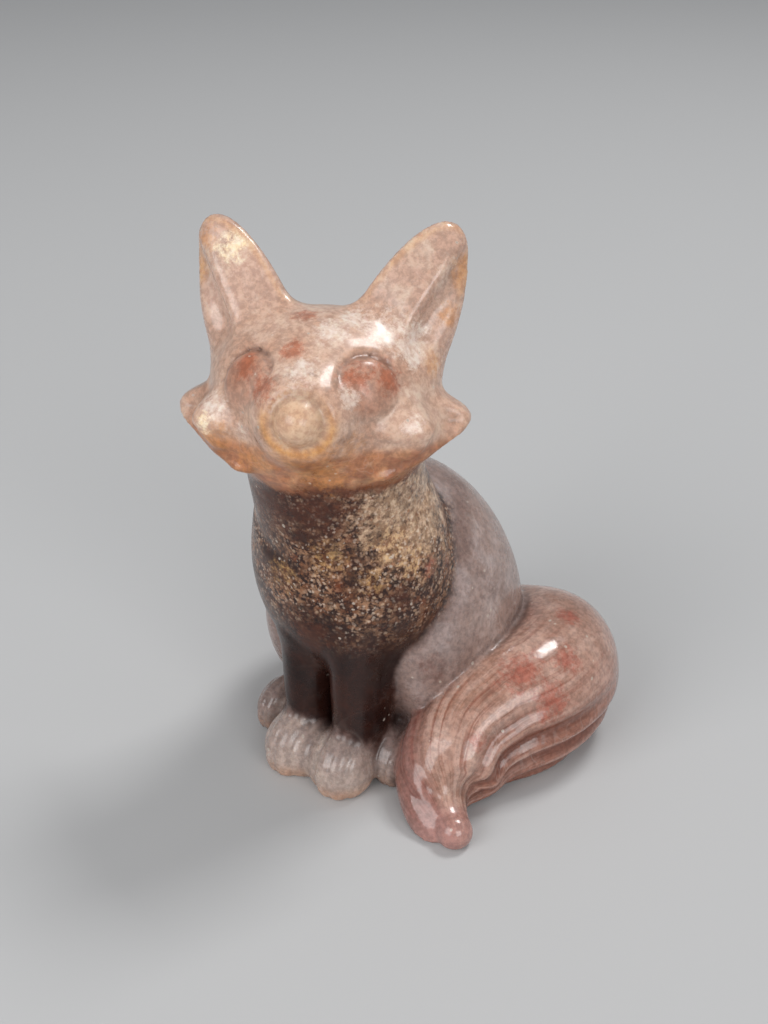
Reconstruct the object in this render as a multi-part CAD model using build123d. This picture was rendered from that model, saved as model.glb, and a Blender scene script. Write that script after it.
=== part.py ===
from build123d import *
import os
from math import sqrt

# A small sitting fox, carved from one piece of quartz and polished all over.
# It looks up and to its left, its tail sweeps round its left flank,
# and it stands on its flat underside.
# The real fox is one piece of stone. Each solid here is one carved region of it,
# and neighbouring regions meet face to face along the creases between them.
# Millimetres. +Z is up, the fox faces -Y, its left is +X.
# The origin is on the ground under its middle.

# Rump: an egg that leans forward, from the hips up to the shoulders
rump_half_width = 11.5
rump_half_length = 11.0
rump_half_height = 16.4
rump_height = 26.9
rump_rear = 15.4
rump_lean = 14.0

# Chest: an egg from the base of the neck down to the forelegs
chest_half_width = 9.15
chest_half_length = 8.0
chest_half_height = 11.2
chest_bottom = 8.6
chest_front = 11.7

# Neck: a column from the middle of the chest up into the head, with a radius of its own half way
neck_radius = 7.4
neck_waist_radius = 7.4

# Head: a wide low egg over a shallow bowl of cheeks, turned, nodded and tipped about its own middle
head_height = 36.95
head_ahead = 7.05
head_half_width = 9.0
head_half_length = 7.4
head_half_height = 6.6
head_turn = 25.5
head_nod = -9.0
head_tip = -1.0
cheek_bulge = 0.8
cheek_setback = 1.0
cheek_flattening = 1.5

# Muzzle: a blunt egg that reaches out of the face, with the round nose on its end
muzzle_reach = 2.2
muzzle_half_width = 3.8
muzzle_half_height = 3.2
muzzle_drop = 0.4
nose_radius = 1.6

# Eyes: low domes, each inside a ring that is cut into the face
eye_spacing = 9.4
eye_rise = 2.0
eye_radius = 2.4
eye_dome_height = 0.4
eye_half_thickness = 1.1
eye_ring_half_width = 0.25
eye_ring_depth = 0.3

# Ears: flattened horns that lean out and back, each with a shallow hollow in front
ear_splay = 0.75
ear_height = 6.2
ear_lean_back = 3.4
ear_half_width = 4.3
ear_half_thickness = 2.5
ear_hollow_half_width = 1.9
ear_hollow_depth = 0.7

# Cheek tufts: a broad upper leaf and a smaller lower leaf on each side of the head
upper_tuft_reach = 2.9
upper_tuft_half_height = 3.1
upper_tuft_half_thickness = 1.9
lower_tuft_reach = 0.3
lower_tuft_half_height = 2.6
lower_tuft_half_thickness = 1.7

# Forelegs, close together with a carved groove between them, and their paws
foreleg_shift = 0.8
foreleg_gap = 0.5
foreleg_half_width = 2.4
foreleg_half_length = 3.3
foreleg_front = 10.1
forepaw_half_width = 2.75
forepaw_half_length = 3.3
forepaw_height = 5.4
forepaw_front = 13.1
forepaw_turn = 6.0

# Thighs: flat eggs on the flanks, and the hind paws that show beside the forepaws
thigh_half_width = 4.4
thigh_half_length = 8.2
thigh_half_height = 10.2
thigh_reach = 11.6
thigh_height = 19.6
thigh_lean = 20.0
hind_paw_half_width = 2.1
hind_paw_half_length = 3.2
hind_paw_height = 4.5
hind_paw_reach = 8.8
hind_paw_front = 8.8
hind_paw_turn = 6.0

# Toes: upright grooves between them over the front of each paw
toe_count = 4
toe_groove_half_width = 0.28
toe_groove_depth = 0.7

# Tail: a plume from the rump round the left flank, its tip turned outwards beside the forepaws
tail_half_width = 6.4
tail_half_height = 7.0
tail_reach = 14.3
tail_rear = 12.6
tail_front = 11.0
tail_tip_radius = 1.6

# What every cut passes a surface by
overrun = 30.0

# The tail's middle line from its root to its tip: across, along and up,
# as shares of its reach, of its rear (its front where negative) and of its half height
tail_line_shares = [
    (0.07, 0.95, 0.62),
    (0.53, 0.99, 0.68),
    (0.965, 0.77, 0.84),
    (1.02, 0.335, 0.78),
    (0.89, -0.02, 0.68),
    (0.82, -0.36, 0.52),
    (0.86, -0.66, 0.31),
    (0.99, -0.85, 0.19),
    (1.09, -0.955, 0.16),
]
# The tail's half width and half height at equal steps along that line, as shares of the full ones
tail_section_shares = [
    (0.59, 0.64),
    (0.69, 0.72),
    (0.80, 0.81),
    (0.93, 0.92),
    (0.95, 0.99),
    (0.90, 1.00),
    (0.83, 0.92),
    (0.79, 0.76),
    (0.62, 0.50),
    (0.235, 0.215),
]

sides = {"left": 1, "right": -1}


def egg(half_width, half_length, half_height):
    """An ellipsoid about the origin."""
    return scale(Sphere(1), by=(half_width, half_length, half_height))


def aim(root, tip, facing):
    """The place at a root with +Z towards a tip and +Y as near as it can be to the given way."""
    along = Vector(*tip) - Vector(*root)
    return Plane(origin=root, x_dir=Vector(*facing).cross(along), z_dir=along).location


def horn(root, tip, half_width, half_thickness, facing):
    """Half an egg from a flat root to a round tip, its broad side facing the given way."""
    length = (Vector(*tip) - Vector(*root)).length
    half_ball = Sphere(1, arc_size1=0, align=(Align.CENTER, Align.CENTER, Align.MIN))
    return aim(root, tip, facing) * scale(half_ball, by=(half_width, half_thickness, length))


def above_ground(shape):
    """Cuts away what lies below the surface that the fox stands on."""
    ground = Box(2 * overrun, 2 * overrun, overrun, align=(Align.CENTER, Align.CENTER, Align.MAX))
    return shape - ground


# Places that follow from the sizes
rump_at = (0, rump_rear - rump_half_length, rump_height - rump_half_height)
chest_at = (0, chest_half_length - chest_front, chest_bottom + chest_half_height)
head_at = (0, -head_ahead, head_height)
head_frame = Pos(*head_at) * Rot(0, 0, head_turn) * Rot(head_nod, 0, 0) * Rot(0, head_tip, 0)
cheek_half_width = head_half_width + cheek_bulge
cheek_half_length = head_half_length - cheek_setback
cheek_half_height = head_half_height - cheek_flattening
muzzle_tip = head_half_length + muzzle_reach
foreleg_across = foreleg_gap / 2 + foreleg_half_width
forepaw_size = (forepaw_half_width, forepaw_half_length, forepaw_height)
hind_paw_size = (hind_paw_half_width, hind_paw_half_length, hind_paw_height)


def make_rump():
    whole = egg(rump_half_width, rump_half_length, rump_half_height)
    return above_ground(Pos(*rump_at) * Rot(rump_lean, 0, 0) * whole)


def make_chest():
    return Pos(*chest_at) * egg(chest_half_width, chest_half_length, chest_half_height)


def make_neck():
    waist_at = [(low + high) / 2 for low, high in zip(chest_at, head_at)]
    return loft([
        Pos(*chest_at) * Circle(neck_radius),
        Pos(*waist_at) * Circle(neck_waist_radius),
        Pos(*head_at) * Circle(neck_radius),
    ])


def skull_and_cheeks(depth=0):
    """The head's whole form, or the one that lies this deep under its surface."""
    skull = egg(head_half_width - depth, head_half_length - depth, head_half_height - depth)
    cheeks = egg(cheek_half_width - depth, cheek_half_length - depth, cheek_half_height - depth)
    return skull + Pos(0, -head_half_length * 0.15, -head_half_height * 0.34) * cheeks


def make_head():
    return head_frame * skull_and_cheeks()


def make_muzzle():
    root = head_half_length * 0.6
    whole = egg(muzzle_half_width, muzzle_tip - root, muzzle_half_height)
    return head_frame * Pos(0, -root, -muzzle_drop) * whole


def make_nose():
    return head_frame * Pos(0, -muzzle_tip, 0) * egg(nose_radius, nose_radius, nose_radius)


def ear_ends(side):
    """The middle of an ear's root and its tip, from the middle of the head."""
    root = (side * head_half_width * 0.5, 0, head_half_height * 0.2)
    tip = (side * (head_half_width + ear_splay), ear_lean_back, head_half_height + ear_height)
    return root, tip


def ear_facing(side):
    return (side * 0.3, -1, 0)


def make_ear(side):
    root, tip = ear_ends(side)
    return head_frame * horn(root, tip, ear_half_width, ear_half_thickness, ear_facing(side))


def make_ear_hollow(side):
    """The long egg that is scooped out of the front of an ear."""
    root, tip = ear_ends(side)
    length = (Vector(*tip) - Vector(*root)).length
    ahead = ear_half_thickness * 0.9 + ear_half_width - ear_hollow_depth
    scoop = egg(ear_hollow_half_width, ear_half_width, length * 0.36)
    return head_frame * aim(root, tip, ear_facing(side)) * Pos(0, ahead, length * 0.52) * scoop


def eye_place(side):
    """The point on the skull under the middle of an eye, with +Z straight out of the face there."""
    x, z = side * eye_spacing / 2, eye_rise
    y = -head_half_length * sqrt(1 - (x / head_half_width) ** 2 - (z / head_half_height) ** 2)
    out = Vector(x / head_half_width**2, y / head_half_length**2, z / head_half_height**2)
    return Plane(origin=(x, y, z), x_dir=Vector(0, 0, 1).cross(out), z_dir=out).location


def make_eye(side):
    place = head_frame * eye_place(side) * Pos(0, 0, eye_dome_height - eye_half_thickness)
    return place * egg(eye_radius, eye_radius, eye_half_thickness)


def make_eye_ring(side):
    """The ring that is cut into the face round an eye, one depth all round."""
    outer = Cylinder(eye_radius + eye_ring_half_width, 2 * head_half_length)
    inner = Cylinder(eye_radius - eye_ring_half_width, 2 * head_half_length)
    return head_frame * (eye_place(side) * (outer - inner) - skull_and_cheeks(eye_ring_depth))


def make_upper_tuft(side):
    root = (side * head_half_width * 0.5, 0, -head_half_height * 0.38)
    tip = (side * (head_half_width + upper_tuft_reach), 0, -head_half_height * 0.26)
    leaf = horn(root, tip, upper_tuft_half_height, upper_tuft_half_thickness, (0, -1, 0))
    return head_frame * leaf


def make_lower_tuft(side):
    root = (side * head_half_width * 0.4, -head_half_length * 0.4, -head_half_height * 0.3)
    ahead, down = head_half_length * 0.66, head_half_height * 0.3
    tip = (side * (head_half_width + lower_tuft_reach), -ahead, -down)
    leaf = horn(root, tip, lower_tuft_half_height, lower_tuft_half_thickness, (0, -1, 0))
    return head_frame * leaf


def make_foreleg(side):
    x = foreleg_shift + side * foreleg_across
    y = foreleg_half_length - foreleg_front
    return loft([
        Pos(x, y, forepaw_height / 2) * Ellipse(foreleg_half_width, foreleg_half_length),
        Pos(x, y, chest_bottom) * Ellipse(foreleg_half_width * 1.06, foreleg_half_length * 1.06),
        Pos(x, y, chest_at[2]) * Ellipse(foreleg_half_width * 1.2, foreleg_half_length * 1.1),
    ])


def paw_egg(half_width, half_length, height):
    """A paw's round form, before the ground is cut away from it."""
    return Pos(0, 0, height * 0.36) * egg(half_width, half_length, height * 0.64)


def toe_lines(half_width, half_length, height):
    """The grooves between a paw's toes, one depth all over its front and top."""
    pitch = 2 * half_width / toe_count
    ahead = (Align.CENTER, Align.MAX, Align.MIN)
    slot = Box(2 * toe_groove_half_width, overrun, overrun, align=ahead)
    slots = [Pos((i + 1 - toe_count / 2) * pitch, 0, 0) * slot for i in range(toe_count - 1)]
    under = [size - toe_groove_depth for size in (half_width, half_length, height)]
    return Compound(slots) - paw_egg(*under)


def forepaw_place(side):
    place = Pos(foreleg_shift + side * foreleg_across, forepaw_half_length - forepaw_front, 0)
    return place * Rot(0, 0, side * forepaw_turn)


def hind_paw_place(side):
    across = side * (hind_paw_reach - hind_paw_half_width)
    return Pos(across, hind_paw_half_length - hind_paw_front, 0) * Rot(0, 0, side * hind_paw_turn)


def make_thigh(side):
    across = side * (thigh_reach - thigh_half_width)
    place = Pos(across, rump_at[1] * 0.6, thigh_height - thigh_half_height)
    whole = egg(thigh_half_width, thigh_half_length, thigh_half_height)
    return above_ground(place * Rot(thigh_lean, 0, 0) * whole)


def make_tail():
    points = []
    for across, along, up in tail_line_shares:
        reach = tail_rear if along > 0 else tail_front
        points.append(Vector(across * tail_reach, along * reach, up * tail_half_height))
    line = Spline(*points)
    sections = []
    for i, (wide, tall) in enumerate(tail_section_shares):
        at = i / (len(tail_section_shares) - 1)
        heading = line % at
        square_to = Plane(origin=line @ at, x_dir=Vector(0, 0, 1).cross(heading), z_dir=heading)
        sections.append(square_to * Ellipse(wide * tail_half_width, tall * tail_half_height))
    return above_ground(loft(sections) + Pos(points[-1]) * Sphere(tail_tip_radius))


def make_regions():
    """Every region's whole form, before its neighbours are cut away from it."""
    regions = {
        "rump": make_rump(), "chest": make_chest(), "neck": make_neck(), "head": make_head(),
        "muzzle": make_muzzle(), "nose": make_nose(), "tail": make_tail(),
    }
    for name, side in sides.items():
        regions[f"{name}_eye"] = make_eye(side)
        regions[f"{name}_ear"] = make_ear(side)
        regions[f"{name}_upper_tuft"] = make_upper_tuft(side)
        regions[f"{name}_lower_tuft"] = make_lower_tuft(side)
        regions[f"{name}_foreleg"] = make_foreleg(side)
        regions[f"{name}_forepaw"] = above_ground(forepaw_place(side) * paw_egg(*forepaw_size))
        regions[f"{name}_thigh"] = make_thigh(side)
        regions[f"{name}_hind_paw"] = above_ground(hind_paw_place(side) * paw_egg(*hind_paw_size))
    return regions


# Each region, and the neighbours that it gives way to where they meet
gives_way_to = {
    "chest": ["rump", "neck"],
    "neck": ["rump", "head"],
    "muzzle": ["head"],
    "nose": ["muzzle"],
    "tail": ["rump", "left_thigh", "left_hind_paw"],
    "left_forepaw": ["left_hind_paw"],
    "right_forepaw": ["left_forepaw", "right_hind_paw"],
}
for name in sides:
    gives_way_to[f"{name}_eye"] = ["head", "muzzle"]
    gives_way_to[f"{name}_ear"] = ["head"]
    gives_way_to[f"{name}_upper_tuft"] = ["head", f"{name}_ear"]
    gives_way_to[f"{name}_lower_tuft"] = ["head", f"{name}_upper_tuft"]
    gives_way_to[f"{name}_thigh"] = ["rump", "chest"]
    gives_way_to[f"{name}_hind_paw"] = ["rump", f"{name}_thigh"]
    gives_way_to[f"{name}_foreleg"] = [
        "chest", "rump", f"{name}_thigh", f"{name}_forepaw", f"{name}_hind_paw",
    ]


def carve(regions):
    """Cuts each region back to its neighbours, then carves the fine lines into the surface."""
    carved = dict(regions)
    for name, neighbours in gives_way_to.items():
        carved[name] = regions[name] - [regions[neighbour] for neighbour in neighbours]
    for name, side in sides.items():
        carved["head"] -= make_eye_ring(side)
        carved[f"{name}_ear"] -= make_ear_hollow(side)
        carved[f"{name}_forepaw"] -= forepaw_place(side) * toe_lines(*forepaw_size)
        carved[f"{name}_hind_paw"] -= hind_paw_place(side) * toe_lines(*hind_paw_size)
    return carved


def main():
    os.makedirs("parts", exist_ok=True)
    for name, shape in carve(make_regions()).items():
        export_step(shape, f"parts/{name}.step")


if __name__ == "__main__":
    main()
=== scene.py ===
from math import radians

import bpy
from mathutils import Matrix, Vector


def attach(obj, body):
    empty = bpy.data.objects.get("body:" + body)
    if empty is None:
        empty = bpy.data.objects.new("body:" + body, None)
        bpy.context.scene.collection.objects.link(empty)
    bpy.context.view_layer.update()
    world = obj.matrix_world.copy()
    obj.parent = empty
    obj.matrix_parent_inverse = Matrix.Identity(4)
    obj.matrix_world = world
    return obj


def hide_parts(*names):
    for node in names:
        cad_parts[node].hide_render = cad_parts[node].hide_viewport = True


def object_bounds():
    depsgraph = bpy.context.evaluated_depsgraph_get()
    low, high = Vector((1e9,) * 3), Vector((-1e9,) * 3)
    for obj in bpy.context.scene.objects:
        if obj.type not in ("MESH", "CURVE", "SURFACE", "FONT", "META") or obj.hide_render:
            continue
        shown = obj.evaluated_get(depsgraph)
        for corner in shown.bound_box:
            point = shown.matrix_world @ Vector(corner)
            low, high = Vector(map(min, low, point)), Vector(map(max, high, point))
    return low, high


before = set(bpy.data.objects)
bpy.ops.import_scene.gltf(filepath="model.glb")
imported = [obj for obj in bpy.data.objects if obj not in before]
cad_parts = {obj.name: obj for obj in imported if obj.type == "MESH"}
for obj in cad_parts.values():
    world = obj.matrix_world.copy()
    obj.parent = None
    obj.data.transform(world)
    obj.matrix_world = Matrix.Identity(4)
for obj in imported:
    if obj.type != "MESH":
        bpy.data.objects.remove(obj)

for startup_name in ("Cube", "Light", "Camera"):
    if startup_name in bpy.data.objects:
        bpy.data.objects.remove(bpy.data.objects[startup_name])
cad_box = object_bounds()

import numpy as np
import openvdb as vdb
from mathutils import Matrix, Vector

# A small sitting fox, carved from one piece of quartz and polished all over.
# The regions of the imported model, with the ears, upper tufts and paws carved more finely, are melted
# into one skin, in millimetres, on a grid of distances: below zero inside the stone, above zero outside.
MM = 0.001
VOXEL = 0.27
MARGIN = 2.0
REACH = 3.0
GROUND_EDGE = 0.35
SIDES = {"left": 1, "right": -1}

grid_low = np.floor((np.array(cad_box[0]) / MM - MARGIN) / VOXEL).astype(int)
grid_high = np.ceil((np.array(cad_box[1]) / MM + MARGIN) / VOXEL).astype(int)
grid_shape = tuple(grid_high - grid_low + 1)
grid_place = vdb.createLinearTransform(voxelSize=VOXEL)


def node_field(*names):
    """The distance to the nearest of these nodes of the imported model."""
    field = np.full(grid_shape, REACH, np.float32)
    for name in names:
        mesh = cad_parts[name].data
        points = np.empty(3 * len(mesh.vertices), np.float32)
        mesh.vertices.foreach_get("co", points)
        corners = np.empty(len(mesh.loops), np.int32)
        mesh.loops.foreach_get("vertex_index", corners)
        grid = vdb.FloatGrid.createLevelSetFromPolygons(
            points.reshape(-1, 3) / MM,
            triangles=corners.reshape(-1, 3),
            transform=grid_place,
            halfWidth=REACH / VOXEL,
        )
        one = np.full(grid_shape, REACH, np.float32)
        grid.copyToArray(one, ijk=tuple(int(i) for i in grid_low))
        np.minimum(field, one, out=field)
    return field


def melt(first, second, radius):
    """Both forms together, with a fillet of about this radius where they meet."""
    near = np.maximum(radius - np.abs(first - second), 0)
    return np.minimum(first, second) - near * near / (4 * radius)


def pare(whole, cut, radius):
    """The whole form without the cut one, with its new edges rounded by about this radius."""
    return -melt(-whole, cut, radius)


def on_both(name):
    return [f"{side}_{name}" for side in SIDES]


def place_block(low, high):
    """A block of the grid between two corners: its slices and the coordinates of its points."""
    first = np.maximum(np.floor(np.array(low) / VOXEL).astype(int) - grid_low, 0)
    last = np.minimum(np.ceil(np.array(high) / VOXEL).astype(int) - grid_low + 1, grid_shape)
    block = tuple(slice(a, b) for a, b in zip(first, last))
    lines = [(np.arange(a, b) + start) * VOXEL for a, b, start in zip(first, last, grid_low)]
    return block, np.stack(np.meshgrid(*lines, indexing="ij"), axis=-1).astype(np.float32)


def seen_from(points, place):
    """The points in the coordinates of a place, a 4x4 matrix in millimetres."""
    rotation = np.array(place.to_3x3(), np.float32)
    return (points - np.array(place.translation, np.float32)) @ rotation


def turned(at, turn=0, nod=0, tip=0):
    """A place at a point, turned about Z, then X, then Y, in degrees."""
    place = Matrix.Translation(at) @ Matrix.Rotation(radians(turn), 4, "Z")
    return place @ Matrix.Rotation(radians(nod), 4, "X") @ Matrix.Rotation(radians(tip), 4, "Y")


def aimed(root, tip, facing):
    """A place at a root with +Z towards a tip and +Y as near as it can be to the given way."""
    along = (Vector(tip) - Vector(root)).normalized()
    across = Vector(facing).cross(along).normalized()
    rows = (across, along.cross(across), along)
    return Matrix.Translation(root) @ Matrix([list(row) for row in rows]).transposed().to_4x4()


def egg_field(points, sizes):
    """About the distance to an egg with these half sizes round the origin."""
    sizes = np.array(sizes, np.float32)
    near = np.linalg.norm(points / sizes, axis=-1)
    steep = np.linalg.norm(points / sizes**2, axis=-1)
    return near * (near - 1) / np.maximum(steep, 1e-6)


def eased(values, start, end):
    """0 up to the start, 1 from the end on, and a smooth change between."""
    share = np.clip((values - start) / (end - start), 0, 1)
    return share * share * (3 - 2 * share)


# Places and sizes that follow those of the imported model's source
HEAD_SIZE = (9.0, 7.4, 6.6)
HEAD = turned((0, -7.05, 36.95), 25.5, -9, -1)
MUZZLE_TIP = 9.6
EYE_AT = (4.7, 2.0)
EYE_RADIUS = 2.4
EAR_ROOT = (4.5, 0, 1.32)
EAR_TIP = (9.75, 3.4, 12.8)
EAR_SIZE = (4.3, 2.5)
UPPER_TUFT_TIP = (11.9, -1.7)
FOREPAW_SIZE = (2.75, 3.3, 5.4)
FOREPAW_AT = (2.65, -9.8)
FOREPAW_SHIFT = 0.8
HIND_PAW_SIZE = (2.1, 3.2, 4.5)
HIND_PAW_AT = (6.7, -5.6)
PAW_TURN = 6
TAIL_REACH = 14.3
TAIL_REAR = 12.6
TAIL_FRONT = 11.0
TAIL_HALF_HEIGHT = 7.0
# The tail's middle line: across, along and up, as shares of its sizes
TAIL_LINE_SHARES = (
    (0.07, 0.95, 0.62), (0.53, 0.99, 0.68), (0.965, 0.77, 0.84), (1.02, 0.335, 0.78),
    (0.89, -0.02, 0.68), (0.82, -0.36, 0.52), (0.86, -0.66, 0.31), (0.99, -0.85, 0.19),
    (1.09, -0.955, 0.16),
)
TAIL_LINE = [
    (across * TAIL_REACH, along * (TAIL_REAR if along > 0 else TAIL_FRONT), up * TAIL_HALF_HEIGHT)
    for across, along, up in TAIL_LINE_SHARES
]

# The room that each form is worked out in, as two corners
FACE_ROOM = ((-14, -24, 28), (14, 0, 46))
HEAD_ROOM = ((-18, -20, 26), (18, 6, 46))
TAIL_ROOM = ((-3, -15, -1), (24, 20, 16))
EYE_ROOM = 5
EAR_ROOM = 10

# Forms that only the skin has: how far ahead the snout has each radius, and what is carved round it
SNOUT_AHEAD = (3.5, 6.5, 9.4)
SNOUT_RADII = (4.5, 3.5, 2.6)
SNOUT_WIDENING = 1.12
SNOUT_DROP = 0.25
SNOUT_ROOT = 2.0
SNOUT_EDGE = 1.5
SNOUT_FILLET = 2.0
DISH_DEPTH = 0.3
DISH_RADIUS = 2.0
DISH_WIDTH = 0.4
NOSE_SIZE = (1.6, 1.5, 1.5)
NOSE_SINK = 0.5
NOSE_DROP = 0.05
NOSE_FILLET = 0.6

# Each eye's dome, and the line round it with its least depth and what its top has more
EYE_DOME = (2.5, 2.5, 1.3)
EYE_SINK = 0.8
EYE_FILLET = 0.5
EYE_LINE_DEPTH = 0.06
EYE_LID_DEPTH = 0.18
EYE_LINE_WIDTH = 0.3
LID_START, LID_END = -0.6, 1.6

# The crest of each ear: how far up it has each place outwards; and the hollow outside it
CREST_UP = (2.0, 6.0)
CREST_OUT = (-0.4, -0.2, 1.0)
EAR_HOLLOW = 0.95
EAR_HOLLOW_OUT = 1.35
EAR_HOLLOW_WIDTH = 1.15
EAR_INNER_CUT = 0.6

# The leaf of each upper tuft: where it starts, how far it spreads there and how thick it is
TUFT_START = 6.0
TUFT_INNER_END = 5.0
TUFT_ABOVE = 2.9
TUFT_BELOW = 3.4
TUFT_THICK = 0.75
TUFT_SWELL = 1.1
TUFT_EDGE = 0.6

# The crease under each cheek, by how far out it is, and the jaw under it
CREASE_OUT = (3.0, 4.5, 7.0, 9.0)
CREASE_UP = (-1.8, -2.3, -2.6, -2.4)
CREASE_DEPTH = 0.4
CREASE_WIDTH = 0.5
JAW_SETBACK = 0.4

TOE_GROOVE = 0.14
TOE_SWELL = 0.06


def ridge(off, width):
    """1 where the offset is 0, and a smooth fall to 0 over about twice the width."""
    return np.exp(-((off / width) ** 2))


def sculpt_muzzle(head):
    """A short round snout with a blunt end, and the nose as a dome in a shallow dish on it."""
    block, points = place_block(*FACE_ROOM)
    across, along, up = np.moveaxis(seen_from(points, HEAD), -1, 0)
    ahead = -along
    end = MUZZLE_TIP - NOSE_SINK
    side = np.hypot(across / SNOUT_WIDENING, up + SNOUT_DROP) - np.interp(ahead, SNOUT_AHEAD, SNOUT_RADII)
    snout = np.maximum(pare(side, end - ahead, SNOUT_EDGE), SNOUT_ROOT - ahead)
    head[block] = melt(head[block], snout, SNOUT_FILLET)
    from_axis = np.hypot(across, up + NOSE_DROP)
    dish = DISH_DEPTH * ridge(from_axis - DISH_RADIUS, DISH_WIDTH) * eased(ahead, 7.0, 8.2)
    nose = egg_field(np.stack((across, ahead - end, up + NOSE_DROP), -1), NOSE_SIZE)
    head[block] = melt(head[block] + dish, nose, NOSE_FILLET)


def eye_place(side):
    """The point on the skull under the middle of an eye, with +Z straight out of the face."""
    across, up = side * EYE_AT[0], EYE_AT[1]
    wide, long, tall = HEAD_SIZE
    along = -long * (1 - (across / wide) ** 2 - (up / tall) ** 2) ** 0.5
    out = Vector((across / wide**2, along / long**2, up / tall**2))
    ahead = Vector((across, along, up))
    return HEAD @ aimed(ahead, ahead + out, Vector((0, 0, 1)).cross(out).cross(out))


def sculpt_eyes(head):
    """Each eye is a low dome inside a round line, which is deepest over its top."""
    for side in SIDES.values():
        place = eye_place(side)
        centre = np.array(place.translation)
        block, points = place_block(centre - EYE_ROOM, centre + EYE_ROOM)
        seen = seen_from(points, place)
        dome = egg_field(seen + (0, 0, EYE_SINK), EYE_DOME)
        head[block] = melt(head[block], dome, EYE_FILLET)
        above = seen_from(points, HEAD)[..., 2] - EYE_AT[1]
        off = np.hypot(seen[..., 0], seen[..., 1]) - EYE_RADIUS
        depth = EYE_LINE_DEPTH + EYE_LID_DEPTH * eased(above, LID_START, LID_END)
        head[block] += depth * ridge(off, EYE_LINE_WIDTH) * (seen[..., 2] > -REACH)


def ear_field(side):
    """A full round-tipped ear. A crest runs up the inner part of its front, and outside the crest
    a long hollow opens towards the outer edge."""
    root = Vector((side * EAR_ROOT[0], EAR_ROOT[1], EAR_ROOT[2]))
    tip = Vector((side * EAR_TIP[0], EAR_TIP[1], EAR_TIP[2]))
    length = (tip - root).length
    place = HEAD @ aimed(root, tip, (side * 0.3, -1, 0))
    centre = np.array((place @ Matrix.Translation((0, 0, length / 2))).translation)
    block, points = place_block(centre - EAR_ROOM, centre + EAR_ROOM)
    across, front, along = np.moveaxis(seen_from(points, place), -1, 0)
    outward = -side * across
    wide, thick = EAR_SIZE
    above_root = np.where(along > 0, along, 4 * along)
    whole = egg_field(np.stack((across, front, above_root), -1), (wide, thick, length))
    from_crest = outward - np.interp(along, (*CREST_UP, length), CREST_OUT)
    hollow = ridge(from_crest - EAR_HOLLOW_OUT, EAR_HOLLOW_WIDTH) * eased(from_crest, -0.1, 0.9)
    inner = eased(-from_crest, 0.0, 2.0)
    carved = eased(along, 1.5, 4.0) * (1 - eased(along, length - 3.5, length - 0.3))
    carved *= eased(front, -0.2, 0.8)
    whole += (EAR_HOLLOW * hollow + EAR_INNER_CUT * inner) * carved
    field = np.full(grid_shape, REACH, np.float32)
    field[block] = whole
    return field


def tuft_field(side):
    """A broad flat leaf beside the cheek, with its point at half height and a straight lower edge."""
    tip_out, tip_up = UPPER_TUFT_TIP
    block, points = place_block(*HEAD_ROOM)
    across, along, up = np.moveaxis(seen_from(points, HEAD), -1, 0)
    outward = side * across
    to_root = 1 - np.clip((outward - TUFT_START) / (tip_out - TUFT_START), 0, 1)
    top = tip_up + TUFT_ABOVE * to_root**0.8
    bottom = tip_up - TUFT_BELOW * to_root**0.9
    middle, half = (top + bottom) / 2, (top - bottom) / 2 + 0.4
    thick = TUFT_THICK + TUFT_SWELL * to_root**0.7
    off = np.abs(along + np.maximum(tip_up - up, 0))
    past_height = np.maximum(np.abs(up - middle) - half + TUFT_EDGE, 0)
    past_thickness = np.maximum(off - thick + TUFT_EDGE, 0)
    leaf = pare(np.hypot(past_height, past_thickness) - TUFT_EDGE, tip_out - outward, 0.9)
    field = np.full(grid_shape, REACH, np.float32)
    field[block] = np.maximum(leaf, TUFT_INNER_END - outward)
    return field


def sculpt_cheeks(head):
    """A soft crease from each lower tuft to the snout, between the cheek and the jaw under it."""
    block, points = place_block(*FACE_ROOM)
    across, along, up = np.moveaxis(seen_from(points, HEAD), -1, 0)
    out = np.abs(across)
    under = np.interp(out, CREASE_OUT, CREASE_UP) - up
    front = eased(-along, 2.0, 4.5) * eased(out, 2.8, 5.0)
    head[block] += CREASE_DEPTH * front * ridge(under, CREASE_WIDTH)
    head[block] += JAW_SETBACK * front * eased(under, 0.0, 0.8) * (1 - eased(under, 1.2, 3.2))


def paw_field(size, at, turn):
    """A paw with four round toes over its front."""
    wide, long, tall = size
    block, points = place_block((at[0] - 5, at[1] - 6, -1), (at[0] + 5, at[1] + 6, tall + 2))
    across, along, up = np.moveaxis(seen_from(points, turned((at[0], at[1], 0), turn)), -1, 0)
    whole = egg_field(np.stack((across, along, up - tall * 0.36), -1), (wide, long, tall * 0.64))
    spread = across / (wide * (1 + 0.12 * eased(-along, 0, long)))
    toes = np.abs(np.sin(2 * np.pi * spread))
    front = eased(-along + 0.6 * up, -0.1 * long, 0.7 * long) * (np.abs(spread) < 0.8)
    whole += front * (TOE_GROOVE * ridge(toes, 0.4) - TOE_SWELL * toes)
    field = np.full(grid_shape, REACH, np.float32)
    field[block] = whole
    return field


def smooth_line(points, count):
    """A smooth line of so many points through the given ones."""
    points = np.array(points, float)
    padded = np.vstack((2 * points[0] - points[1], points, 2 * points[-1] - points[-2]))
    at = np.linspace(0, len(points) - 1, count)
    span = np.minimum(at.astype(int), len(points) - 2)
    share = (at - span)[:, None]
    before, start, end, after = (padded[span + step] for step in range(4))
    return 0.5 * (
        2 * start + (end - before) * share
        + (2 * before - 5 * start + 4 * end - after) * share**2
        + (3 * start - 3 * end + after - before) * share**3
    )


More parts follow.
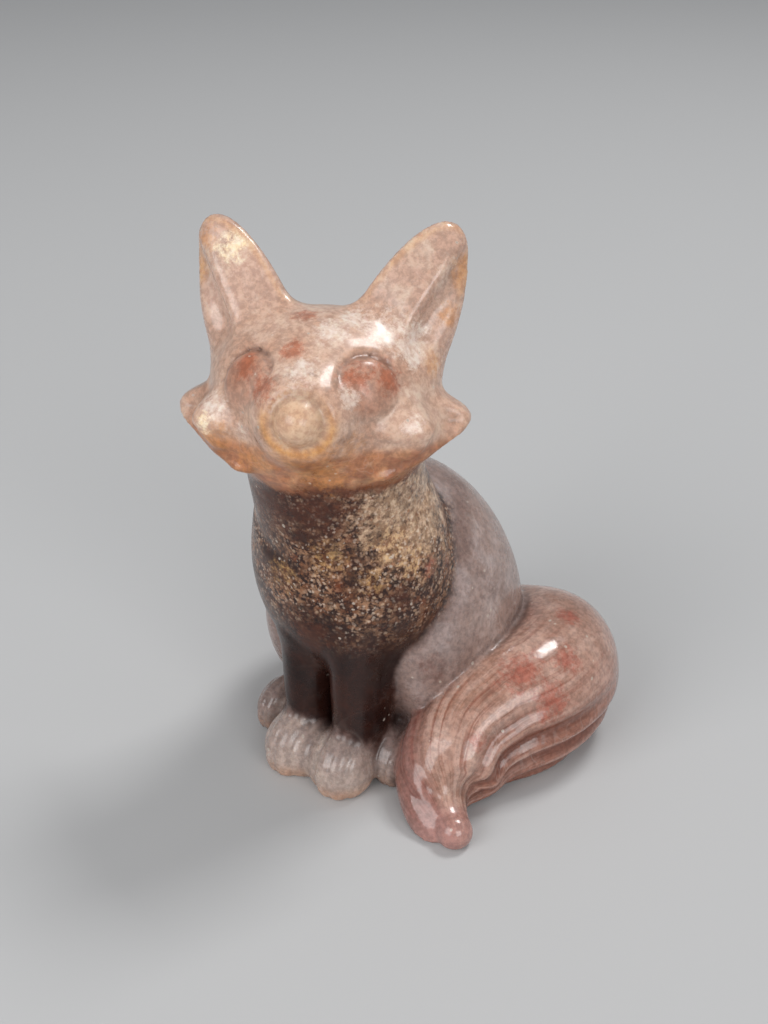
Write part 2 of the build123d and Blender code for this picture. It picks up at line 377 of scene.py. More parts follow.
def along_tail(points):
    """For each point: how far along the tail it lies, from 0 to 1, and its angle round it in degrees,
    which is 0 on the outer side and 90 on top."""
    line = smooth_line(TAIL_LINE, 160)
    steps = np.gradient(line, axis=0)
    steps /= np.linalg.norm(steps, axis=1)[:, None]
    outward = np.cross((0, 0, 1), steps)
    outward /= np.linalg.norm(outward, axis=1)[:, None]
    upward = np.cross(steps, outward)
    lengths = np.concatenate(((0,), np.cumsum(np.linalg.norm(np.diff(line, axis=0), axis=1))))
    nearest = np.empty(len(points), int)
    for start in range(0, len(points), 20000):
        part = points[start:start + 20000]
        nearest[start:start + 20000] = np.argmin(((part[:, None, :] - line[None]) ** 2).sum(-1), axis=1)
    away = points - line[nearest]
    extra = (away * steps[nearest]).sum(1)
    share = (lengths[nearest] + extra) / lengths[-1]
    angle = np.arctan2((away * upward[nearest]).sum(1), (away * outward[nearest]).sum(1))
    return share, np.degrees(angle)


# The long grooves that are carved down the tail: the angle round it in degrees, the depth, and the
# shares of the tail's length where each starts and ends
TAIL_GROOVES = (
    (-62, 0.55, 0.30, 0.97), (-36, 0.80, 0.24, 0.99), (-10, 0.85, 0.30, 0.99),
    (16, 0.80, 0.38, 0.99), (42, 0.55, 0.50, 0.98), (118, 0.35, 0.50, 0.96), (150, 0.35, 0.55, 0.98),
)
GROOVE_WIDTH = 7.5


def tail_carving(share, degrees):
    """How deep the grooves are at these places on the tail."""
    carved = np.zeros(len(share), np.float32)
    thin = np.interp(share, (0.5, 0.75, 0.9, 1), (1.0, 0.75, 0.35, 0.15))
    for at, depth, start, end in TAIL_GROOVES:
        swing = at + 14 * (1 - share) * np.sign(at - 60)
        off = (degrees - swing + 180) % 360 - 180
        fade = eased(share, start, start + 0.22) * (1 - eased(share, end - 0.06, end + 0.03))
        carved = np.maximum(carved, depth * thin * fade * ridge(off, GROOVE_WIDTH))
    return carved


def sculpt_tail(tail):
    """Long grooves that run together into the tip, with round ribs between them."""
    block, points = place_block(*TAIL_ROOM)
    band = tail[block]
    near = np.abs(band) < 2.2
    band[near] += tail_carving(*along_tail(points[near]))
    tail[block] = band


def both_paws(size, at, shift):
    left = paw_field(size, (shift + at[0], at[1]), PAW_TURN)
    right = paw_field(size, (shift - at[0], at[1]), -PAW_TURN)
    return left, right


fields = {
    "rump": node_field("rump"),
    "chest": node_field("chest"),
    "neck": node_field("neck"),
    "thighs": node_field(*on_both("thigh")),
    "forelegs": node_field(*on_both("foreleg")),
    "forepaws": melt(*both_paws(FOREPAW_SIZE, FOREPAW_AT, FOREPAW_SHIFT), 2.4),
    "hind_paws": melt(*both_paws(HIND_PAW_SIZE, HIND_PAW_AT, 0), 0.35),
    "tail": node_field("tail"),
    "head": node_field("head"),
    "muzzle": node_field("muzzle"),
    "nose": node_field("nose"),
    "ears": np.minimum(*(ear_field(side) for side in SIDES.values())),
    "upper_tufts": np.minimum(*(tuft_field(side) for side in SIDES.values())),
    "lower_tufts": node_field(*on_both("lower_tuft")),
}
sculpt_tail(fields["tail"])
head = fields["head"]
for name, radius in (("ears", 1.7), ("upper_tufts", 0.9), ("lower_tufts", 2.2), ("muzzle", 2.0)):
    head = melt(head, fields[name], radius)
sculpt_cheeks(head)
sculpt_muzzle(head)
sculpt_eyes(head)
front = melt(melt(fields["chest"], fields["neck"], 1.6), fields["forelegs"], 1.0)
behind = melt(fields["rump"], fields["thighs"], 1.6)
feet = melt(fields["forepaws"], fields["hind_paws"], 0.7)
stone = melt(behind, front, 0.9)
for form, radius in ((feet, 1.0), (fields["tail"], 0.5), (head, 1.2)):
    stone = melt(stone, form, radius)
heights = (np.arange(grid_shape[2]) + grid_low[2]) * VOXEL
stone = pare(stone, np.broadcast_to(heights.astype(np.float32), grid_shape), GROUND_EDGE)


def make_skin(field):
    """The closed surface of the field as a mesh of quads, in metres."""
    grid = vdb.FloatGrid()
    grid.background = REACH
    grid.transform = grid_place
    grid.copyFromArray(field, ijk=tuple(int(i) for i in grid_low))
    points, quads = grid.convertToQuads(0)
    mesh = bpy.data.meshes.new("fox_skin")
    mesh.from_pydata((points * MM).tolist(), [], quads.tolist())
    mesh.shade_smooth()
    mesh.validate()
    return mesh


def sampled(field, points):
    """The field's values at these points, in millimetres."""
    at = points / VOXEL - grid_low
    base = np.clip(np.floor(at).astype(int), 0, np.array(grid_shape) - 2)
    share = at - base
    total = np.zeros(len(points))
    for corner in np.ndindex(2, 2, 2):
        step = np.array(corner)
        weight = np.prod(np.where(step, share, 1 - share), axis=1)
        i, j, k = (base + step).T
        total += weight * field[i, j, k]
    return total


skin = make_skin(stone)
fox = bpy.data.objects.new("fox_stone", skin)
bpy.context.scene.collection.objects.link(fox)
places = np.empty(3 * len(skin.vertices), np.float32)
skin.vertices.foreach_get("co", places)
places = places.reshape(-1, 3) / MM


def keep_values(name, values):
    """Stores one value for each point of the skin, for the materials to read."""
    kept = skin.attributes.new(name, "FLOAT", "POINT")
    kept.data.foreach_set("value", np.asarray(values, np.float32))


REGIONS = {
    "head": ("head", "muzzle", "nose", "upper_tufts", "lower_tufts"),
    "ears": ("ears",),
    "neck": ("neck",),
    "chest": ("chest", "forelegs"),
    "back": ("rump", "thighs"),
    "tail": ("tail",),
    "paws": ("forepaws", "hind_paws"),
}
weights = {}
for region, members in REGIONS.items():
    nearest = np.min([sampled(fields[member], places) for member in members], axis=0)
    weights[region] = np.exp(-np.maximum(nearest, 0) / 0.85)
x_stone, y_stone, z_stone = places.T
under_jaw = eased(z_stone, 29.5, 33.0)
weights["chest"] += weights["neck"] * (1 - under_jaw)
weights["neck"] *= under_jaw
shares = {region: weight / sum(weights.values()) for region, weight in weights.items()}
for region in ("chest", "ears", "tail", "paws"):
    keep_values(region, shares[region])
upward = shares["ears"]
for region in ("head", "neck", "chest"):
    upward = upward + shares[region]
    keep_values("up_from_" + region, upward)

normals = np.empty(3 * len(skin.vertices), np.float32)
skin.vertex_normals.foreach_get("vector", normals)
normals = normals.reshape(-1, 3)
CREASE_SHADE_LOOK = 0.8
THIN_GLOW_LOOK = 1.2
# A mask for painted shade: high where stone lies just outside a point, in creases and hollows
keep_values("crease", eased(CREASE_SHADE_LOOK - sampled(stone, places + CREASE_SHADE_LOOK * normals), 0.1, 0.6))
# A mask for painted light: high where the stone is thin, for a warm glow as of light passing through it
keep_values("thin", eased(sampled(stone, places - THIN_GLOW_LOOK * normals) + THIN_GLOW_LOOK, 0.12, 0.5))

in_head = seen_from(places, HEAD)
x_head, y_head, z_head = in_head.T
keep_values("jaw", eased(-z_head, 2.3, 3.4))
from_snout = np.hypot(x_head / SNOUT_WIDENING, z_head + 0.15)
# An amber ring round the snout's edge, painted as light glowing through the stone there
glow_ring = ridge(from_snout - 2.35, 0.32) * (0.35 + 0.65 * eased(-z_head, -1.5, 1.0))
keep_values("snout_ring_glow", glow_ring * eased(-y_head, 7.4, 8.6))
keep_values("snout", (1 - eased(from_snout, 1.6, 2.4)) * eased(-y_head, 7.4, 8.6))
from_eye = np.full(len(places), REACH)
for side in SIDES.values():
    in_eye = seen_from(places, eye_place(side))
    reached = np.hypot(in_eye[:, 0], in_eye[:, 1])
    from_eye = np.minimum(from_eye, np.where(in_eye[:, 2] > -REACH, reached, REACH))
keep_values("eye", 1 - eased(from_eye, 1.7, 2.6))
upper_lid = 0.3 + 0.7 * eased(z_head - EYE_AT[1], LID_START, LID_END)
# Painted shade in the line round each eye, strongest over its top where the line is cut deepest
keep_values("eye_line_shade", ridge(from_eye - EYE_RADIUS, EYE_LINE_WIDTH) * upper_lid)

# Patches of colour, to about half a millimetre: the middle of each and how far it reaches, in millimetres
PATCHES = {
    "white": (
        (2.5, -9, 43.5, 1.2), (3, -6.5, 43.5, 1.1), (5, -6, 43, 1.5), (7, -5, 41.5, 1.4),
        (3, -13.5, 42, 1.2), (6.5, -12, 40, 0.8), (9.5, -8.5, 37, 0.7), (-1.5, -16, 36, 0.8),
        (-4.5, -15, 37.5, 0.9), (6.5, -3.5, 42, 0.9),
    ),
    "cream": ((-8, -8, 47.5, 1.1), (-5, -16, 36, 0.7)),
    "rust": (
        (0.5, -15, 40.5, 1.2), (-2, -14, 41, 1), (6, -11, 41, 1.1), (7.5, -8.5, 40.5, 1.2),
        (1, -12, 42.5, 0.9), (-0.5, -8.5, 43.5, 0.8), (2, -16, 32.5, 1.6),
    ),
    "amber": (
        (-10.5, -8, 47.5, 1), (-11, -8, 45, 0.8), (-4, -15.5, 35, 1.3), (-0.5, -15, 33.5, 1.6),
        (3.5, -16, 35, 1.6), (5.5, -15, 35.5, 1.2), (7, -13, 36, 1.2), (4.5, -13, 33, 1.8),
        (8, -3.5, 40, 1), (7.5, 1, 46, 1), (8, -1, 43, 0.8),
    ),
    "gold": (
        (9, -6.5, 23.5, 1.6), (9, -1.5, 23, 0.9), (7, -10, 22.5, 1.3), (3.5, -11.5, 24.5, 1.4),
        (-1, -12.5, 21.5, 1.4), (7.5, -8, 25.5, 1.6),
    ),
    "beige": ((8.5, -5.5, 26.5, 3.6), (7, -7.5, 28.5, 2.8), (8, -2.5, 27, 2.4), (8.5, -4, 30, 2.4)),
    "umber": ((3.5, -12.5, 29.5, 2.6), (-1.5, -12.5, 28.5, 3), (8.5, -8, 20.5, 1.2), (1, -12, 16, 2)),
    "red": (
        (15.5, 8.5, 12.5, 1), (18, 4, 11.5, 1.1), (18.5, 0.5, 9, 1.4), (15.5, 0, 11.5, 1.6),
        (15, -6, 7.5, 0.7), (9.5, -5, 22.5, 0.9), (6, 12, 8, 1.4), (-8, 8, 16, 1.6),
    ),
    "brown": ((9.5, -5, 12, 1.1), (-9.5, 1.5, 19, 1.8), (2, 13.5, 20, 1.6)),
}
PATCH_FADE = 2.2
for kind, marks in PATCHES.items():
    covered = np.zeros(len(places))
    for *centre, extent in marks:
        away = np.linalg.norm(places - centre, axis=1) / extent
        covered = np.maximum(covered, 1 - eased(away, 0.0, PATCH_FADE))
    keep_values(kind, covered)

# Golden grains above the legs and mostly in front, and painted shade between the feet and the body
keep_values("glitter", eased(z_stone, 13.5, 20.5) * (1 - 0.7 * eased(y_stone, 0.0, 6.0)))
keep_values("front_flank", eased(-y_stone, -1.0, 5.0))
keep_values("nook_shade", eased(np.abs(x_stone), 5.0, 6.5) * eased(y_stone, -10.0, -8.0))
keep_values("paw_edge", 1 - eased(z_stone, 0.5, 2.2))

tail_share, tail_degrees = along_tail(places)
keep_values("tail_along", tail_share)
keep_values("tail_across", np.cos(np.radians(tail_degrees)))
keep_values("tail_around", np.sin(np.radians(tail_degrees)))
keep_values("tail_low", eased(-tail_degrees, -50, 20) * eased(tail_degrees, -150, -110))
keep_values("tail_inner", eased(np.abs(tail_degrees), 95, 140))
# Dark in the grooves: partly the stone's red-brown, partly painted shade
keep_values("tail_groove_stain_and_shade", np.clip(tail_carving(tail_share, tail_degrees) / 0.6, 0, 1))
keep_values("tail_tip", eased(tail_share, 0.93, 1.0))


def tint(code):
    """A colour from its six-digit code, as the shaders take it."""
    parts = [int(code[i:i + 2], 16) / 255 for i in (0, 2, 4)]
    return tuple(p / 12.92 if p < 0.04045 else ((p + 0.055) / 1.055) ** 2.4 for p in parts) + (1.0,)


def join(tree, value, socket):
    """Feeds a socket from another socket, or sets it to a plain value."""
    if isinstance(value, bpy.types.NodeSocket):
        tree.links.new(value, socket)
    else:
        socket.default_value = value


def add(tree, kind, settings=(), **feeds):
    """A new node of a tree, with its settings and what feeds its inputs, by their names."""
    node = tree.nodes.new("ShaderNode" + kind)
    for key, value in dict(settings).items():
        setattr(node, key, value)
    for key, value in feeds.items():
        join(tree, value, node.inputs[key.replace("_", " ")])
    return node


def calculate(tree, operation, *values):
    node = tree.nodes.new("ShaderNodeMath")
    node.operation = operation
    for value, socket in zip(values, node.inputs):
        join(tree, value, socket)
    return node.outputs[0]


def blend(tree, share, first, second, way="MIX"):
    """The first colour with a share of the second one over it."""
    node = tree.nodes.new("ShaderNodeMix")
    node.data_type, node.blend_type = "RGBA", way
    for value, index in ((share, 0), (first, 6), (second, 7)):
        join(tree, value, node.inputs[index])
    return node.outputs[2]


def ramp(tree, value, start, end, low=0.0, high=1.0):
    """Low up to the start, high from the end on, and a smooth change between."""
    node = add(tree, "MapRange", {"interpolation_type": "SMOOTHSTEP"}, Value=value)
    for name, number in (("From Min", start), ("From Max", end), ("To Min", low), ("To Max", high)):
        join(tree, number, node.inputs[name])
    return node.outputs[0]


def new_group(name, ins, outs):
    """An empty node group with its inputs (name, kind, value) and outputs (name, kind)."""
    group = bpy.data.node_groups.new(name, "ShaderNodeTree")
    for label, kind, value in ins:
        socket = group.interface.new_socket(label, in_out="INPUT", socket_type="NodeSocket" + kind)
        if value is not None:
            socket.default_value = value
    for label, kind in outs:
        group.interface.new_socket(label, in_out="OUTPUT", socket_type="NodeSocket" + kind)
    return group, group.nodes.new("NodeGroupInput").outputs, group.nodes.new("NodeGroupOutput").inputs


def place_group(tree, group, **feeds):
    node = tree.nodes.new("ShaderNodeGroup")
    node.node_tree = group
    for key, value in feeds.items():
        join(tree, value, node.inputs[key.replace("_", " ")])
    return node.outputs


def make_cloud_group():
    """Soft clouds: a mask that is 1 in their middle and 0 between them."""
    group, ins, outs = new_group(
        "stone_clouds",
        (
            ("Vector", "Vector", None), ("Scale", "Float", 200.0),
            ("Amount", "Float", 0.5), ("Softness", "Float", 0.12),
        ),
        (("Mask", "Float"),),
    )
    noise = add(
        group, "TexNoise",
        Vector=ins["Vector"], Scale=ins["Scale"], Detail=5.0, Roughness=0.6, Distortion=0.4,
    )
    level = calculate(group, "SUBTRACT", 1.0, ins["Amount"])
    spread = ramp(group, level, 0.0, 1.0, 0.28, 0.72)
    start = calculate(group, "SUBTRACT", spread, ins["Softness"])
    end = calculate(group, "ADD", spread, ins["Softness"])
    group.links.new(ramp(group, noise.outputs["Fac"], start, end), outs["Mask"])
    return group


def make_vein_group():
    """Thin healed cracks that wander through the stone."""
    group, ins, outs = new_group(
        "stone_veins",
        (("Vector", "Vector", None), ("Scale", "Float", 150.0), ("Width", "Float", 0.02)),
        (("Mask", "Float"),),
    )
    noise = add(
        group, "TexNoise",
        Vector=ins["Vector"], Scale=ins["Scale"], Detail=3.0, Roughness=0.55, Distortion=1.2,
    )
    away = calculate(group, "ABSOLUTE", calculate(group, "SUBTRACT", noise.outputs["Fac"], 0.5))
    line = ramp(group, away, 0.0, ins["Width"], 1.0, 0.0)
    broken = add(group, "TexNoise", Vector=ins["Vector"], Scale=ins["Scale"], Detail=2.0)
    kept = ramp(group, broken.outputs["Fac"], 0.45, 0.6)
    group.links.new(calculate(group, "MULTIPLY", line, kept), outs["Mask"])
    return group


def make_fleck_group():
    """Mineral flecks: which points lie in one, a tone for each, and the surface tilted in each."""
    group, ins, outs = new_group(
        "stone_flecks",
        (
            ("Vector", "Vector", None), ("Scale", "Float", 2000.0), ("Amount", "Float", 0.4),
            ("Size", "Float", 0.4), ("Tilt", "Float", 0.5),
        ),
        (("Mask", "Float"), ("Tone", "Float"), ("Normal", "Vector")),
    )
    bend = add(group, "TexNoise", Vector=ins["Vector"], Scale=ins["Scale"], Detail=1.0)
    shift = add(group, "VectorMath", {"operation": "SCALE"}, Scale=0.0003)
    group.links.new(bend.outputs["Color"], shift.inputs[0])
    moved = add(group, "VectorMath", {"operation": "ADD"})
    group.links.new(ins["Vector"], moved.inputs[0])
    group.links.new(shift.outputs[0], moved.inputs[1])
    cells = add(group, "TexVoronoi", Vector=moved.outputs[0], Scale=ins["Scale"])
    tone = add(group, "SeparateColor", Color=cells.outputs["Color"])
    core = calculate(group, "MULTIPLY", ins["Size"], 0.6)
    inside = ramp(group, cells.outputs["Distance"], core, ins["Size"], 1.0, 0.0)
    chosen = calculate(group, "LESS_THAN", tone.outputs[0], ins["Amount"])
    mask = calculate(group, "MULTIPLY", inside, chosen)
    group.links.new(mask, outs["Mask"])
    group.links.new(tone.outputs[1], outs["Tone"])
    centred = add(group, "VectorMath", {"operation": "SUBTRACT"})
    group.links.new(cells.outputs["Color"], centred.inputs[0])
    centred.inputs[1].default_value = (0.5, 0.5, 0.5)
    leaning = calculate(group, "MULTIPLY", mask, ins["Tilt"])
    lean = add(group, "VectorMath", {"operation": "SCALE"}, Scale=leaning)
    group.links.new(centred.outputs[0], lean.inputs[0])
    tilted = add(group, "VectorMath", {"operation": "ADD"})
    group.links.new(add(group, "NewGeometry").outputs["Normal"], tilted.inputs[0])
    group.links.new(lean.outputs[0], tilted.inputs[1])
    final = add(group, "VectorMath", {"operation": "NORMALIZE"})
    group.links.new(tilted.outputs[0], final.inputs[0])
    group.links.new(final.outputs[0], outs["Normal"])
    return group


clouds = make_cloud_group()
veins = make_vein_group()
flecks = make_fleck_group()


def quartz_group():
    """The colours of the whole stone, from the skin's masks and patterns in the stone itself."""
    outputs = (("Color", "Color"), ("Roughness", "Float"), ("Metallic", "Float"), ("Normal", "Vector"))
    tree, _, outs = new_group("fox_quartz", (), outputs)
    here = add(tree, "TexCoord").outputs["Object"]

    def cloud(scale, amount, softness=0.12, moved=(0, 0, 0)):
        place = add(tree, "Mapping", Vector=here, Location=moved).outputs[0]
        made = place_group(tree, clouds, Vector=place, Scale=scale, Amount=amount, Softness=softness)
        return made["Mask"]

    def noise(scale, detail=4.0, roughness=0.6):
        made = add(tree, "TexNoise", Vector=here, Scale=scale, Detail=detail, Roughness=roughness)
        return made.outputs["Fac"]

    def share(first, second):
        return calculate(tree, "MULTIPLY", first, second)

    def mask(name):
        return add(tree, "Attribute", {"attribute_name": name}).outputs["Fac"]

    def stain(color, amount, code):
        """The colour with this share of another one over it."""
        return blend(tree, amount, color, tint(code))

    ragged = calculate(tree, "SUBTRACT", noise(1100.0, 6.0, 0.8), 0.5)

    def patch(name, strength=1.0):
        """A patch mask with an edge as ragged as colour has in a stone."""
        edge = calculate(tree, "ADD", mask(name), share(ragged, 3.4))
        return share(ramp(tree, edge, 0.2, 1.05), share(ramp(tree, mask(name), 0.0, 0.3), strength))

    # Back and thighs: grey mauve with darker smoke and pale veils
    back = blend(tree, cloud(120, 0.5, 0.2), tint("9c857c"), tint("806860"))
    back = stain(back, share(cloud(260, 0.4, 0.15, (0.1, 0, 0)), 0.7), "b3a39f")
    back = stain(back, share(cloud(420, 0.3, 0.1, (0, 0.2, 0)), 0.4), "5a423c")
    back = stain(back, share(mask("front_flank"), 0.3), "5f4642")

    # Tail: mauve above, red-brown streaks that follow its length, and dark red-brown in its grooves,
    # partly the stone's colour and partly painted shade
    stretched = share(mask("tail_along"), 0.3)
    along = add(tree, "CombineXYZ", X=mask("tail_across"), Y=mask("tail_around"), Z=stretched).outputs[0]
    streaks = add(tree, "TexNoise", Vector=along, Scale=11.0, Detail=4.0, Roughness=0.6).outputs["Fac"]
    tail = blend(tree, cloud(150, 0.5, 0.2, (0, 0, 0.1)), tint("b08c7d"), tint("987362"))
    tail = stain(tail, share(cloud(380, 0.4, 0.12, (0.2, 0, 0.1)), 0.5), "c4a596")
    tail = stain(tail, share(mask("tail_low"), 0.7), "8c5544")
    streaky = ramp(tree, mask("tail_along"), 0.35, 0.7, 0.3, 1.0)
    tail = stain(tail, share(share(ramp(tree, streaks, 0.5, 0.68), 0.65), streaky), "7a4232")
    tail = stain(tail, share(share(ramp(tree, streaks, 0.5, 0.36), 0.5), streaky), "bd9d90")
    tail = stain(tail, share(mask("tail_inner"), 0.75), "82544e")
    # The grooves darkened: partly red-brown stone, partly painted shade
    tail = stain(tail, share(mask("tail_groove_stain_and_shade"), 0.7), "64301f")
    tail = stain(tail, share(mask("tail_tip"), 0.7), "ab8078")

    # Chest: dark brown, mottled with golden, copper and beige grains
    coarse = place_group(tree, flecks, Vector=here, Scale=2300.0, Amount=0.4, Size=0.5, Tilt=0.5)
    fine = place_group(tree, flecks, Vector=here, Scale=3400.0, Amount=0.5, Size=0.55, Tilt=0.7)
    quiet = calculate(tree, "SUBTRACT", 1.0, share(mask("umber"), 0.9))
    lively = share(share(mask("glitter"), ramp(tree, noise(330.0, 4.0, 0.65), 0.32, 0.56)), quiet)
    dark = blend(tree, cloud(200, 0.45, 0.2, (0, 0.1, 0.3)), tint("33160c"), tint("150706"))
    dark = stain(dark, patch("umber", 0.8), "48200f")
    grit = ramp(tree, noise(1500.0, 4.0, 0.75), 0.43, 0.6)
    grit_tone = blend(tree, ramp(tree, noise(600.0), 0.4, 0.6), tint("7a4c30"), tint("ac8162"))
    chest = blend(tree, share(share(grit, lively), 0.75), dark, grit_tone)
    chest = blend(tree, patch("beige", 0.85), chest, blend(tree, grit, tint("a58468"), tint("dabb9e")))
    chest = blend(tree, patch("gold", 0.45), chest, blend(tree, grit, tint("7a4826"), tint("dcae70")))
    grain_tone = blend(tree, coarse["Tone"], tint("955a38"), tint("e2c3a4"))
    chest = blend(tree, share(share(coarse["Mask"], lively), 0.55), chest, grain_tone)
    fine_tone = blend(tree, fine["Tone"], tint("8a5636"), tint("e8d6c4"))
    chest = blend(tree, share(share(fine["Mask"], lively), 0.5), chest, fine_tone)
    copper = share(cloud(300, 0.25, 0.08, (0.2, 0.2, 0)), lively)
    chest = stain(chest, share(copper, 0.6), "7c3a17")

    # Jaw: mottled amber. Neck: the same stone, but darker
    amber = blend(tree, cloud(260, 0.5, 0.2, (0.1, 0.3, 0)), tint("b57036"), tint("924c22"))
    amber = stain(amber, share(cloud(520, 0.4, 0.1, (0.2, 0.1, 0)), 0.5), "d6a473")
    neck = blend(tree, cloud(300, 0.5, 0.2, (0.3, 0.3, 0)), tint("7c4827"), tint("5e2f1b"))

    # Head: cloudy pinkish beige with white patches, rust at the eyes with painted shade in the lines
    # round them, and an amber ring at the nose, painted as light glowing through the stone's edge
    head = blend(tree, cloud(140, 0.5, 0.2, (0.2, 0, 0.1)), tint("caa792"), tint("b88f79"))
    head = stain(head, share(cloud(330, 0.42, 0.2, (0, 0.3, 0.2)), 0.55), "dcc4b2")
    head = stain(head, share(cloud(480, 0.36, 0.16, (0.3, 0, 0)), 0.45), "a0745c")
    head = blend(tree, share(mask("jaw"), 0.75), head, amber)
    head = stain(head, share(mask("eye"), 0.5), "94593f")
    # Painted shade in the lines round the eyes
    head = stain(head, share(mask("eye_line_shade"), 0.4), "6a3c2c")
    head = stain(head, share(mask("snout"), 0.45), "d6b08a")
    # Painted glow of light through the stone round the snout's edge
    head = stain(head, share(mask("snout_ring_glow"), 0.65), "cf9243")

    # Ears: grey pink, with painted light where they thin out, a warm glow as of light passing through the
    # stone
    ears = blend(tree, cloud(200, 0.5, 0.2, (0, 0, 0.4)), tint("caa896"), tint("b69482"))
    ears = stain(ears, share(cloud(420, 0.36, 0.1, (0.4, 0, 0)), 0.5), "dac5b2")
    # Painted light: a warm glow where the ear is thin
    ears = stain(ears, share(mask("thin"), 0.35), "dba76f")

    # Paws: pale lilac grey with peach edges
    paws = blend(tree, cloud(260, 0.5, 0.2, (0.4, 0.1, 0)), tint("b5a297"), tint("938079"))
    paws = stain(paws, share(mask("paw_edge"), 0.6), "c08f6e")
    # Painted shade in the nook between the feet and the body
    paws = stain(paws, share(mask("nook_shade"), 0.6), "5d4744")

    wander = share(calculate(tree, "SUBTRACT", noise(350.0), 0.5), 0.9)

    def region(name):
        """A region's mask with an edge that wanders as colour does in a stone."""
        return ramp(tree, calculate(tree, "ADD", mask(name), wander), 0.3, 0.7)

    color, gloss = back, 0.3
    for name, over, over_gloss in (
        ("tail", tail, 0.2), ("paws", paws, 0.26), ("up_from_chest", chest, 0.3),
        ("up_from_neck", neck, 0.3), ("up_from_head", head, 0.34), ("ears", ears, 0.24),
    ):
        inside = region(name)
        color = blend(tree, inside, color, over)
        gloss = ramp(tree, inside, 0.0, 1.0, gloss, over_gloss)

    # Patches of colour, fine specks, healed cracks and painted shade in the creases
    for name, code, strength in (
        ("brown", "6b463c", 0.6), ("red", "9c4634", 0.6), ("rust", "a35a3c", 0.75),
        ("amber", "c48548", 0.5), ("white", "ecdccf", 0.65), ("cream", "fae8c8", 0.85),
    ):
        color = stain(color, patch(name, strength), code)
    mottled = ramp(tree, noise(1900.0, 3.0, 0.7), 0.36, 0.64)
    mottle = blend(tree, mottled, (0.22, 0.22, 0.22, 1), (0.8, 0.8, 0.8, 1))
    color = blend(tree, 0.3, color, mottle, "OVERLAY")
    specks = place_group(tree, flecks, Vector=here, Scale=1500.0, Amount=0.05, Size=0.2, Tilt=0.0)
    color = stain(color, share(specks["Mask"], 0.7), "2c1a14")
    sparks = place_group(tree, flecks, Vector=here, Scale=1500.0, Amount=0.05, Size=0.26, Tilt=0.6)
    color = stain(color, share(sparks["Mask"], 0.45), "e6dacb")
    cracks = place_group(tree, veins, Vector=here, Scale=120.0, Width=0.012)["Mask"]
    plain = calculate(tree, "SUBTRACT", 1.0, mask("chest"))
    color = stain(color, share(share(cracks, plain), 0.12), "d5c6bd")
    # Painted shade: creases and hollows darkened
    color = stain(color, share(mask("crease"), 0.55), "3a211c")

    tilt = add(tree, "Mix", {"data_type": "VECTOR"})
    join(tree, share(mask("chest"), lively), tilt.inputs[0])
    join(tree, add(tree, "NewGeometry").outputs["Normal"], tilt.inputs[4])
    join(tree, coarse["Normal"], tilt.inputs[5])
    metal = share(share(coarse["Mask"], share(mask("chest"), lively)), 0.35)
    worn = ramp(tree, noise(700.0, 5.0, 0.7), 0.35, 0.7, -0.06, 0.08)
    tree.links.new(color, outs["Color"])
    tree.links.new(calculate(tree, "ADD", gloss, worn), outs["Roughness"])
    tree.links.new(metal, outs["Metallic"])
    tree.links.new(tilt.outputs[1], outs["Normal"])
    return tree


def make_quartz(name, subsurface, depth, coat, coat_roughness):
    """Polished stone that light soaks into by this depth, in metres, under a clear polish."""
    material = bpy.data.materials.new(name)
    material.use_nodes = True
    tree = material.node_tree
    shader = tree.nodes["Principled BSDF"]
    stone_looks = place_group(tree, fox_quartz)
    tree.links.new(stone_looks["Color"], shader.inputs["Base Color"])
    tree.links.new(stone_looks["Roughness"], shader.inputs["Roughness"])
    tree.links.new(stone_looks["Metallic"], shader.inputs["Metallic"])
    here = add(tree, "TexCoord").outputs["Object"]
    wave = add(tree, "TexNoise", Vector=here, Scale=280.0, Detail=3.0, Roughness=0.5).outputs["Fac"]
    bump = add(tree, "Bump", Height=wave, Strength=0.35, Distance=0.0004, Normal=stone_looks["Normal"])
    tree.links.new(bump.outputs[0], shader.inputs["Normal"])
    shader.inputs["Subsurface Weight"].default_value = subsurface
    shader.inputs["Subsurface Radius"].default_value = (1.0, 0.62, 0.42)
    shader.inputs["Subsurface Scale"].default_value = depth
    shader.inputs["IOR"].default_value = 1.54
    shader.inputs["Specular IOR Level"].default_value = 0.35
    shader.inputs["Coat Weight"].default_value = coat
    shader.inputs["Coat Roughness"].default_value = coat_roughness
    return material


fox_quartz = quartz_group()

# The finishes: how much light soaks in, how deep in metres, the polish, its roughness and the regions
FINISHES = (
    ("pale_quartz", 0.3, 0.0014, 0.28, 0.1, ("head", "ears", "paws")),
    ("dark_quartz", 0.06, 0.0008, 0.1, 0.12, ("chest", "neck")),
    ("mauve_quartz", 0.22, 0.0012, 0.35, 0.08, ("back", "tail")),
)
kinds = []
for name, subsurface, depth, coat, coat_roughness, members in FINISHES:
    skin.materials.append(make_quartz(name, subsurface, depth, coat, coat_roughness))
    kinds.append(sum(shares[region] for region in members))
kinds = np.stack(kinds)
corner_points = np.empty(4 * len(skin.polygons), np.int32)
skin.loops.foreach_get("vertex_index", corner_points)
skin.polygons.foreach_set("material_index", kinds[:, corner_points[::4]].argmax(0).astype(np.int32))

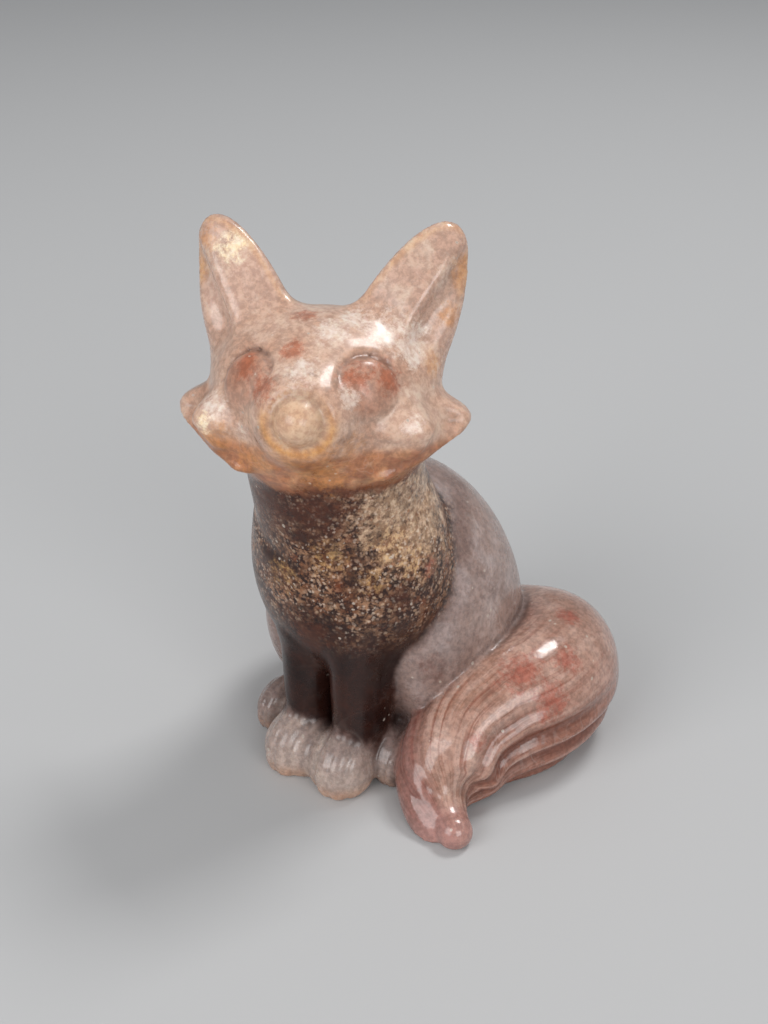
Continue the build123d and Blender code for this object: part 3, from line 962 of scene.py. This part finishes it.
# Camera, as the photo was taken
CAMERA_AT = (0.0579, -0.0813, 0.080)
CAMERA_LOOK = (-0.497, 0.709, -0.5)
FOCAL_PX = 1300
PHOTO_HEIGHT_PX = 1024
camera_data = bpy.data.cameras.new("camera")
camera = bpy.data.objects.new("camera", camera_data)
camera_data.sensor_fit = "VERTICAL"
camera_data.sensor_height = 36
camera_data.lens = 36 * FOCAL_PX / PHOTO_HEIGHT_PX
camera_data.clip_start = 0.01
camera_data.clip_end = 10
camera.location = CAMERA_AT
camera.rotation_euler = Vector(CAMERA_LOOK).normalized().to_track_quat("-Z", "Y").to_euler()
bpy.context.scene.collection.objects.link(camera)
bpy.context.scene.camera = camera

# Plain floor, lamps and world
FLOOR_HALF = 3
floor_mesh = bpy.data.meshes.new("floor")
floor_corners = [(x * FLOOR_HALF, y * FLOOR_HALF, 0) for x, y in ((-1, -1), (1, -1), (1, 1), (-1, 1))]
floor_mesh.from_pydata(floor_corners, [], [(0, 1, 2, 3)])
floor = bpy.data.objects.new("floor", floor_mesh)
bpy.context.scene.collection.objects.link(floor)


def lamp(name, at, target, size, power):
    """A soft lamp at a place that shines at a target, with its size in metres and its power in watts."""
    data = bpy.data.lights.new(name, "AREA")
    data.shape = "RECTANGLE"
    data.size, data.size_y = size
    data.energy = power
    lit = bpy.data.objects.new(name, data)
    lit.location = at
    lit.rotation_euler = (Vector(target) - Vector(at)).to_track_quat("-Z", "Y").to_euler()
    bpy.context.scene.collection.objects.link(lit)


lamp("top_lamp", (0.08, 0.23, 0.5), (0, 0, 0.02), (0.14, 0.14), 1.2)
lamp("front_lamp", (-0.1, -0.5, 0.3), (0, 0, 0.03), (0.4, 0.4), 1.9)
lamp("right_lamp", (0.45, -0.25, 0.25), (0, 0, 0.03), (0.3, 0.3), 1.2)
world = bpy.data.worlds.new("studio")
bpy.context.scene.world = world
world.use_nodes = True
world.node_tree.nodes["Background"].inputs["Color"].default_value = (0.8, 0.82, 0.85, 1)
world.node_tree.nodes["Background"].inputs["Strength"].default_value = 0.4
bpy.context.scene.view_settings.view_transform = "Standard"

floor_material = bpy.data.materials.new("pale_floor")
floor_material.use_nodes = True
floor_material.node_tree.nodes["Principled BSDF"].inputs["Base Color"].default_value = (0.5, 0.5, 0.5, 1)
floor_material.node_tree.nodes["Principled BSDF"].inputs["Roughness"].default_value = 0.9
floor_mesh.materials.append(floor_material)

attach(fox, "root")
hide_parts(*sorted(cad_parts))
